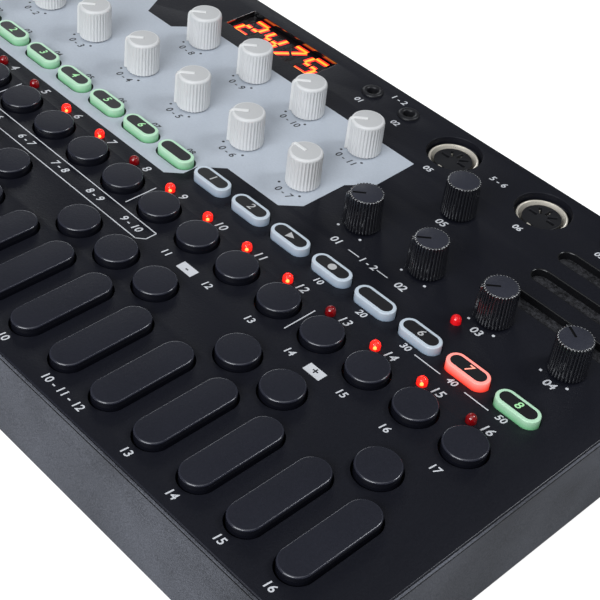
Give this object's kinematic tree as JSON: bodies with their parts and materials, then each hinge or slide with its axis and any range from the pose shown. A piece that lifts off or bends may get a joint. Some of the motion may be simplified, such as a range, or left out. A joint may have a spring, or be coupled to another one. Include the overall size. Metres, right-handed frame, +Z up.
{
  "type": "desktop synthesizer",
  "caption": "Flat desktop synthesizer: soft note and step keys that press, ridged knobs that turn, a small red display, a speaker behind slots, and round and small sockets in the top.",
  "frame": {"origin": "middle of the bounding box on the plane of the rubber feet", "axes": "+X to the player's right, +Y to the back where the sockets are, +Z up"},
  "size_m": [0.297, 0.176, 0.048],
  "materials": {
    "panel_plastic": "fine matt texture",
    "case_plastic": "fine moulded grain",
    "circuit_board": "solder mask",
    "mat_rubber": "matt",
    "display_block": "satin",
    "display_pane": "polished",
    "speaker_parts": "woven cloth over a paper cone",
    "round_socket_parts": "satin, with a bright metal shield",
    "jack_plastic": "satin",
    "rear_socket_parts": "satin",
    "lamp_resin": "clear tinted resin",
    "pot_metal": "plain",
    "cell_can": "plain sleeve",
    "contact_steel": "plated",
    "foot_rubber": "matt",
    "screw_steel": "zinc",
    "door_plastic": "fine moulded grain",
    "slider_plastic": "matt",
    "note_key_rubber": "satin",
    "step_key_rubber": "satin",
    "soft_key_silicone": "milky, lit from below",
    "light_knob_plastic": "soft touch",
    "dark_knob_plastic": "soft touch"
  },
  "bodies": {
    "case": {"top_panel": "panel_plastic", "bottom_case": "case_plastic", "control_board": "circuit_board", "key_mat": "mat_rubber", "display_module": "display_block", "display_window": "display_pane", "speaker": "speaker_parts", "midi_sockets": "round_socket_parts", "mini_jacks": "jack_plastic", "rear_sockets": "rear_socket_parts", "status_leds": "lamp_resin", "potentiometers": "pot_metal", "battery_cells": "cell_can", "battery_contacts": "contact_steel", "rubber_feet": "foot_rubber", "case_screws": "screw_steel"},
    "battery_door": {"battery_door": "door_plastic"},
    "power_slider": {"power_slider": "slider_plastic"},
    "white_key_01": {"white_key_01": "note_key_rubber"},
    "white_key_02": {"white_key_02": "note_key_rubber"},
    "white_key_03": {"white_key_03": "note_key_rubber"},
    "white_key_04": {"white_key_04": "note_key_rubber"},
    "white_key_05": {"white_key_05": "note_key_rubber"},
    "white_key_06": {"white_key_06": "note_key_rubber"},
    "white_key_07": {"white_key_07": "note_key_rubber"},
    "white_key_08": {"white_key_08": "note_key_rubber"},
    "white_key_09": {"white_key_09": "note_key_rubber"},
    "white_key_10": {"white_key_10": "note_key_rubber"},
    "white_key_11": {"white_key_11": "note_key_rubber"},
    "white_key_12": {"white_key_12": "note_key_rubber"},
    "white_key_13": {"white_key_13": "note_key_rubber"},
    "white_key_14": {"white_key_14": "note_key_rubber"},
    "white_key_15": {"white_key_15": "note_key_rubber"},
    "white_key_16": {"white_key_16": "note_key_rubber"},
    "black_keys_a": {"black_keys_a": "note_key_rubber"},
    "black_keys_b": {"black_keys_b": "note_key_rubber"},
    "black_keys_c": {"black_keys_c": "note_key_rubber"},
    "step_keys_a": {"step_keys_a": "step_key_rubber"},
    "step_keys_b": {"step_keys_b": "step_key_rubber"},
    "step_keys_c": {"step_keys_c": "step_key_rubber"},
    "step_keys_d": {"step_keys_d": "step_key_rubber"},
    "soft_keys_a": {"soft_keys_a": "soft_key_silicone"},
    "soft_keys_b": {"soft_keys_b": "soft_key_silicone"},
    "soft_keys_c": {"soft_keys_c": "soft_key_silicone"},
    "knob_front_01": {"knob_front_01": "light_knob_plastic"},
    "knob_front_02": {"knob_front_02": "light_knob_plastic"},
    "knob_front_03": {"knob_front_03": "light_knob_plastic"},
    "knob_front_04": {"knob_front_04": "light_knob_plastic"},
    "knob_front_05": {"knob_front_05": "light_knob_plastic"},
    "knob_front_06": {"knob_front_06": "light_knob_plastic"},
    "knob_front_07": {"knob_front_07": "light_knob_plastic"},
    "knob_back_01": {"knob_back_01": "light_knob_plastic"},
    "knob_back_02": {"knob_back_02": "light_knob_plastic"},
    "knob_back_03": {"knob_back_03": "light_knob_plastic"},
    "knob_back_04": {"knob_back_04": "light_knob_plastic"},
    "knob_effect_a": {"knob_effect_a": "dark_knob_plastic"},
    "knob_effect_b": {"knob_effect_b": "dark_knob_plastic"},
    "knob_tempo": {"knob_tempo": "dark_knob_plastic"},
    "knob_volume": {"knob_volume": "dark_knob_plastic"},
    "knob_value": {"knob_value": "dark_knob_plastic"}
  },
  "joints": [
    {"name": "battery_door_lift_off", "type": "slide", "parent": "case", "child": "battery_door", "axis": [0, 0, -1], "range_m": [0, 0.003]},
    {"name": "power_slider_shift", "type": "slide", "parent": "case", "child": "power_slider", "axis": [-1, 0, 0], "range_m": [0, 0.004]},
    {"name": "white_key_01_press", "type": "slide", "parent": "case", "child": "white_key_01", "axis": [0, 0, -1], "range_m": [0, 0.0015], "stiffness_N_per_m": 150},
    {"name": "white_key_02_press", "type": "slide", "parent": "case", "child": "white_key_02", "axis": [0, 0, -1], "range_m": [0, 0.0015], "stiffness_N_per_m": 150},
    {"name": "white_key_03_press", "type": "slide", "parent": "case", "child": "white_key_03", "axis": [0, 0, -1], "range_m": [0, 0.0015], "stiffness_N_per_m": 150},
    {"name": "white_key_04_press", "type": "slide", "parent": "case", "child": "white_key_04", "axis": [0, 0, -1], "range_m": [0, 0.0015], "stiffness_N_per_m": 150},
    {"name": "white_key_05_press", "type": "slide", "parent": "case", "child": "white_key_05", "axis": [0, 0, -1], "range_m": [0, 0.0015], "stiffness_N_per_m": 150},
    {"name": "white_key_06_press", "type": "slide", "parent": "case", "child": "white_key_06", "axis": [0, 0, -1], "range_m": [0, 0.0015], "stiffness_N_per_m": 150},
    {"name": "white_key_07_press", "type": "slide", "parent": "case", "child": "white_key_07", "axis": [0, 0, -1], "range_m": [0, 0.0015], "stiffness_N_per_m": 150},
    {"name": "white_key_08_press", "type": "slide", "parent": "case", "child": "white_key_08", "axis": [0, 0, -1], "range_m": [0, 0.0015], "stiffness_N_per_m": 150},
    {"name": "white_key_09_press", "type": "slide", "parent": "case", "child": "white_key_09", "axis": [0, 0, -1], "range_m": [0, 0.0015], "stiffness_N_per_m": 150},
    {"name": "white_key_10_press", "type": "slide", "parent": "case", "child": "white_key_10", "axis": [0, 0, -1], "range_m": [0, 0.0015], "stiffness_N_per_m": 150},
    {"name": "white_key_11_press", "type": "slide", "parent": "case", "child": "white_key_11", "axis": [0, 0, -1], "range_m": [0, 0.0015], "stiffness_N_per_m": 150},
    {"name": "white_key_12_press", "type": "slide", "parent": "case", "child": "white_key_12", "axis": [0, 0, -1], "range_m": [0, 0.0015], "stiffness_N_per_m": 150},
    {"name": "white_key_13_press", "type": "slide", "parent": "case", "child": "white_key_13", "axis": [0, 0, -1], "range_m": [0, 0.0015], "stiffness_N_per_m": 150},
    {"name": "white_key_14_press", "type": "slide", "parent": "case", "child": "white_key_14", "axis": [0, 0, -1], "range_m": [0, 0.0015], "stiffness_N_per_m": 150},
    {"name": "white_key_15_press", "type": "slide", "parent": "case", "child": "white_key_15", "axis": [0, 0, -1], "range_m": [0, 0.0015], "stiffness_N_per_m": 150},
    {"name": "white_key_16_press", "type": "slide", "parent": "case", "child": "white_key_16", "axis": [0, 0, -1], "range_m": [0, 0.0015], "stiffness_N_per_m": 150},
    {"name": "black_keys_a_press", "type": "slide", "parent": "case", "child": "black_keys_a", "axis": [0, 0, -1], "range_m": [0, 0.0015], "stiffness_N_per_m": 450},
    {"name": "black_keys_b_press", "type": "slide", "parent": "case", "child": "black_keys_b", "axis": [0, 0, -1], "range_m": [0, 0.0015], "stiffness_N_per_m": 450},
    {"name": "black_keys_c_press", "type": "slide", "parent": "case", "child": "black_keys_c", "axis": [0, 0, -1], "range_m": [0, 0.0015], "stiffness_N_per_m": 450},
    {"name": "step_keys_a_press", "type": "slide", "parent": "case", "child": "step_keys_a", "axis": [0, 0, -1], "range_m": [0, 0.0015], "stiffness_N_per_m": 450},
    {"name": "step_keys_b_press", "type": "slide", "parent": "case", "child": "step_keys_b", "axis": [0, 0, -1], "range_m": [0, 0.0015], "stiffness_N_per_m": 450},
    {"name": "step_keys_c_press", "type": "slide", "parent": "case", "child": "step_keys_c", "axis": [0, 0, -1], "range_m": [0, 0.0015], "stiffness_N_per_m": 450},
    {"name": "step_keys_d_press", "type": "slide", "parent": "case", "child": "step_keys_d", "axis": [0, 0, -1], "range_m": [0, 0.0015], "stiffness_N_per_m": 450},
    {"name": "soft_keys_a_press", "type": "slide", "parent": "case", "child": "soft_keys_a", "axis": [0, 0, -1], "range_m": [0, 0.0015], "stiffness_N_per_m": 450},
    {"name": "soft_keys_b_press", "type": "slide", "parent": "case", "child": "soft_keys_b", "axis": [0, 0, -1], "range_m": [0, 0.0015], "stiffness_N_per_m": 450},
    {"name": "soft_keys_c_press", "type": "slide", "parent": "case", "child": "soft_keys_c", "axis": [0, 0, -1], "range_m": [0, 0.0015], "stiffness_N_per_m": 450},
    {"name": "knob_front_01_turn", "type": "hinge", "parent": "case", "child": "knob_front_01", "pos_m": [-0.1296, 0.0252, 0.036], "axis": [0, 0, 1], "range_deg": [-270, 0]},
    {"name": "knob_front_02_turn", "type": "hinge", "parent": "case", "child": "knob_front_02", "pos_m": [-0.104, 0.0252, 0.036], "axis": [0, 0, 1], "range_deg": [-270, 0]},
    {"name": "knob_front_03_turn", "type": "hinge", "parent": "case", "child": "knob_front_03", "pos_m": [-0.0784, 0.0252, 0.036], "axis": [0, 0, 1], "range_deg": [-270, 0]},
    {"name": "knob_front_04_turn", "type": "hinge", "parent": "case", "child": "knob_front_04", "pos_m": [-0.0528, 0.0252, 0.036], "axis": [0, 0, 1], "range_deg": [-270, 0]},
    {"name": "knob_front_05_turn", "type": "hinge", "parent": "case", "child": "knob_front_05", "pos_m": [-0.0272, 0.0252, 0.036], "axis": [0, 0, 1], "range_deg": [-270, 0]},
    {"name": "knob_front_06_turn", "type": "hinge", "parent": "case", "child": "knob_front_06", "pos_m": [-0.0016, 0.0252, 0.036], "axis": [0, 0, 1], "range_deg": [-270, 0]},
    {"name": "knob_front_07_turn", "type": "hinge", "parent": "case", "child": "knob_front_07", "pos_m": [0.024, 0.0252, 0.036], "axis": [0, 0, 1], "range_deg": [-225, 45]},
    {"name": "knob_back_01_turn", "type": "hinge", "parent": "case", "child": "knob_back_01", "pos_m": [-0.0536, 0.0525, 0.036], "axis": [0, 0, 1], "range_deg": [-270, 0]},
    {"name": "knob_back_02_turn", "type": "hinge", "parent": "case", "child": "knob_back_02", "pos_m": [-0.028, 0.0525, 0.036], "axis": [0, 0, 1], "range_deg": [-270, 0]},
    {"name": "knob_back_03_turn", "type": "hinge", "parent": "case", "child": "knob_back_03", "pos_m": [-0.0024, 0.0525, 0.036], "axis": [0, 0, 1], "range_deg": [-270, 0]},
    {"name": "knob_back_04_turn", "type": "hinge", "parent": "case", "child": "knob_back_04", "pos_m": [0.0232, 0.0525, 0.036], "axis": [0, 0, 1], "range_deg": [-270, 0]},
    {"name": "knob_effect_a_turn", "type": "hinge", "parent": "case", "child": "knob_effect_a", "pos_m": [0.0496, 0.0252, 0.036], "axis": [0, 0, 1], "range_deg": [-270, 0]},
    {"name": "knob_effect_b_turn", "type": "hinge", "parent": "case", "child": "knob_effect_b", "pos_m": [0.0752, 0.0252, 0.036], "axis": [0, 0, 1], "range_deg": [-270, 0]},
    {"name": "knob_tempo_turn", "type": "hinge", "parent": "case", "child": "knob_tempo", "pos_m": [0.1008, 0.0252, 0.036], "axis": [0, 0, 1], "range_deg": [-270, 0]},
    {"name": "knob_volume_turn", "type": "hinge", "parent": "case", "child": "knob_volume", "pos_m": [0.1264, 0.0252, 0.036], "axis": [0, 0, 1], "range_deg": [-197, 73]},
    {"name": "knob_value_turn", "type": "hinge", "parent": "case", "child": "knob_value", "pos_m": [0.0626, 0.053, 0.036], "axis": [0, 0, 1], "continuous": true}
  ]
}
